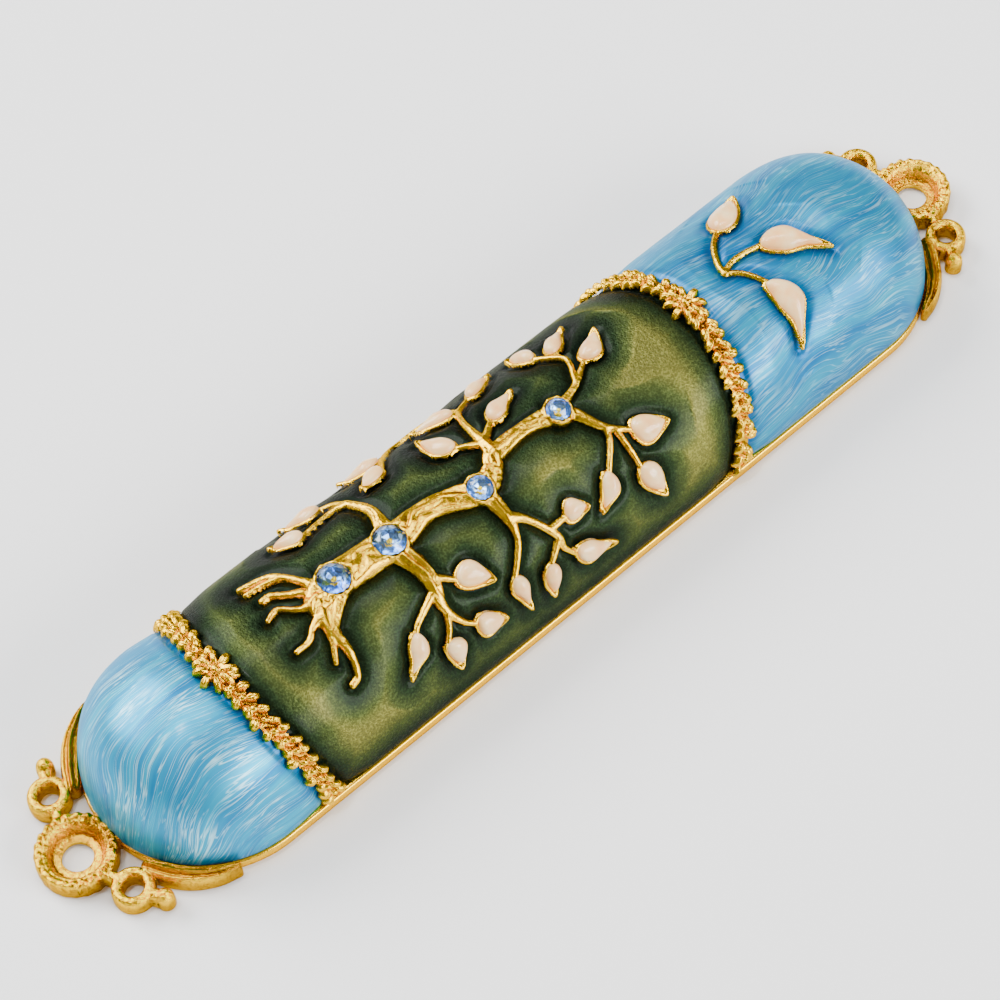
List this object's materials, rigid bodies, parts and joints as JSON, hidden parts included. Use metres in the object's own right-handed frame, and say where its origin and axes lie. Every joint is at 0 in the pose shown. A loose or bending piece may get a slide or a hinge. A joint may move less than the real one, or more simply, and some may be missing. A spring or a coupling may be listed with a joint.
{
  "type": "mezuzah case",
  "caption": "Long half-round mezuzah case with enamelled tree relief, leaf pockets, crystals, screw ears, snap-in back cover and a rolled parchment in its hollow.",
  "frame": {"origin": "centre of the flat back, on the back plane, halfway along the case", "axes": "+X along the case from the root end to the sprig end, +Z out of the enamelled front"},
  "size_m": [0.1266, 0.0266, 0.0153],
  "materials": {
    "gold_plate": "polished gold plating on a casting",
    "cover_metal": "satin gold-coloured sheet metal",
    "enamel_lower_blue": "glossy pearl enamel with fine white streaks",
    "enamel_green": "glossy translucent enamel over gold glitter, darker at its edges",
    "enamel_upper_blue": "glossy pearl enamel with fine white streaks",
    "leaf_enamel": "glossy domed enamel",
    "crystal": "faceted and polished, foil-backed",
    "parchment": "matt, plain",
    "scroll_band": "woven ribbon"
  },
  "bodies": {
    "cover": {"back_cover": "cover_metal"},
    "case": {"case_shell": "gold_plate", "enamel_lower_blue": "enamel_lower_blue", "enamel_green": "enamel_green", "enamel_upper_blue": "enamel_upper_blue", "crystal_1": "crystal", "crystal_2": "crystal", "crystal_3": "crystal", "crystal_4": "crystal", "leaf_tree_01": "leaf_enamel", "leaf_tree_02": "leaf_enamel", "leaf_tree_03": "leaf_enamel", "leaf_tree_04": "leaf_enamel", "leaf_tree_05": "leaf_enamel", "leaf_tree_06": "leaf_enamel", "leaf_tree_07": "leaf_enamel", "leaf_tree_08": "leaf_enamel", "leaf_tree_09": "leaf_enamel", "leaf_tree_10": "leaf_enamel", "leaf_tree_11": "leaf_enamel", "leaf_tree_12": "leaf_enamel", "leaf_tree_13": "leaf_enamel", "leaf_tree_14": "leaf_enamel", "leaf_tree_15": "leaf_enamel", "leaf_tree_16": "leaf_enamel", "leaf_tree_17": "leaf_enamel", "leaf_tree_18": "leaf_enamel", "leaf_tree_19": "leaf_enamel", "leaf_tree_20": "leaf_enamel", "leaf_tree_21": "leaf_enamel", "leaf_tree_22": "leaf_enamel", "leaf_sprig_1": "leaf_enamel", "leaf_sprig_2": "leaf_enamel", "leaf_sprig_3": "leaf_enamel"},
    "scroll": {"parchment_scroll": "parchment", "scroll_band": "scroll_band"}
  },
  "joints": [
    {"name": "case_lift", "type": "slide", "parent": "cover", "child": "case", "axis": [0, 0, 1], "range_m": [0, 0.028]},
    {"name": "scroll_lift", "type": "slide", "parent": "cover", "child": "scroll", "axis": [0, 0, 1], "range_m": [0, 0.013]}
  ],
  "couplings": [
    {"joint": "scroll_lift", "follows": "case_lift", "ratio": 0.45}
  ]
}
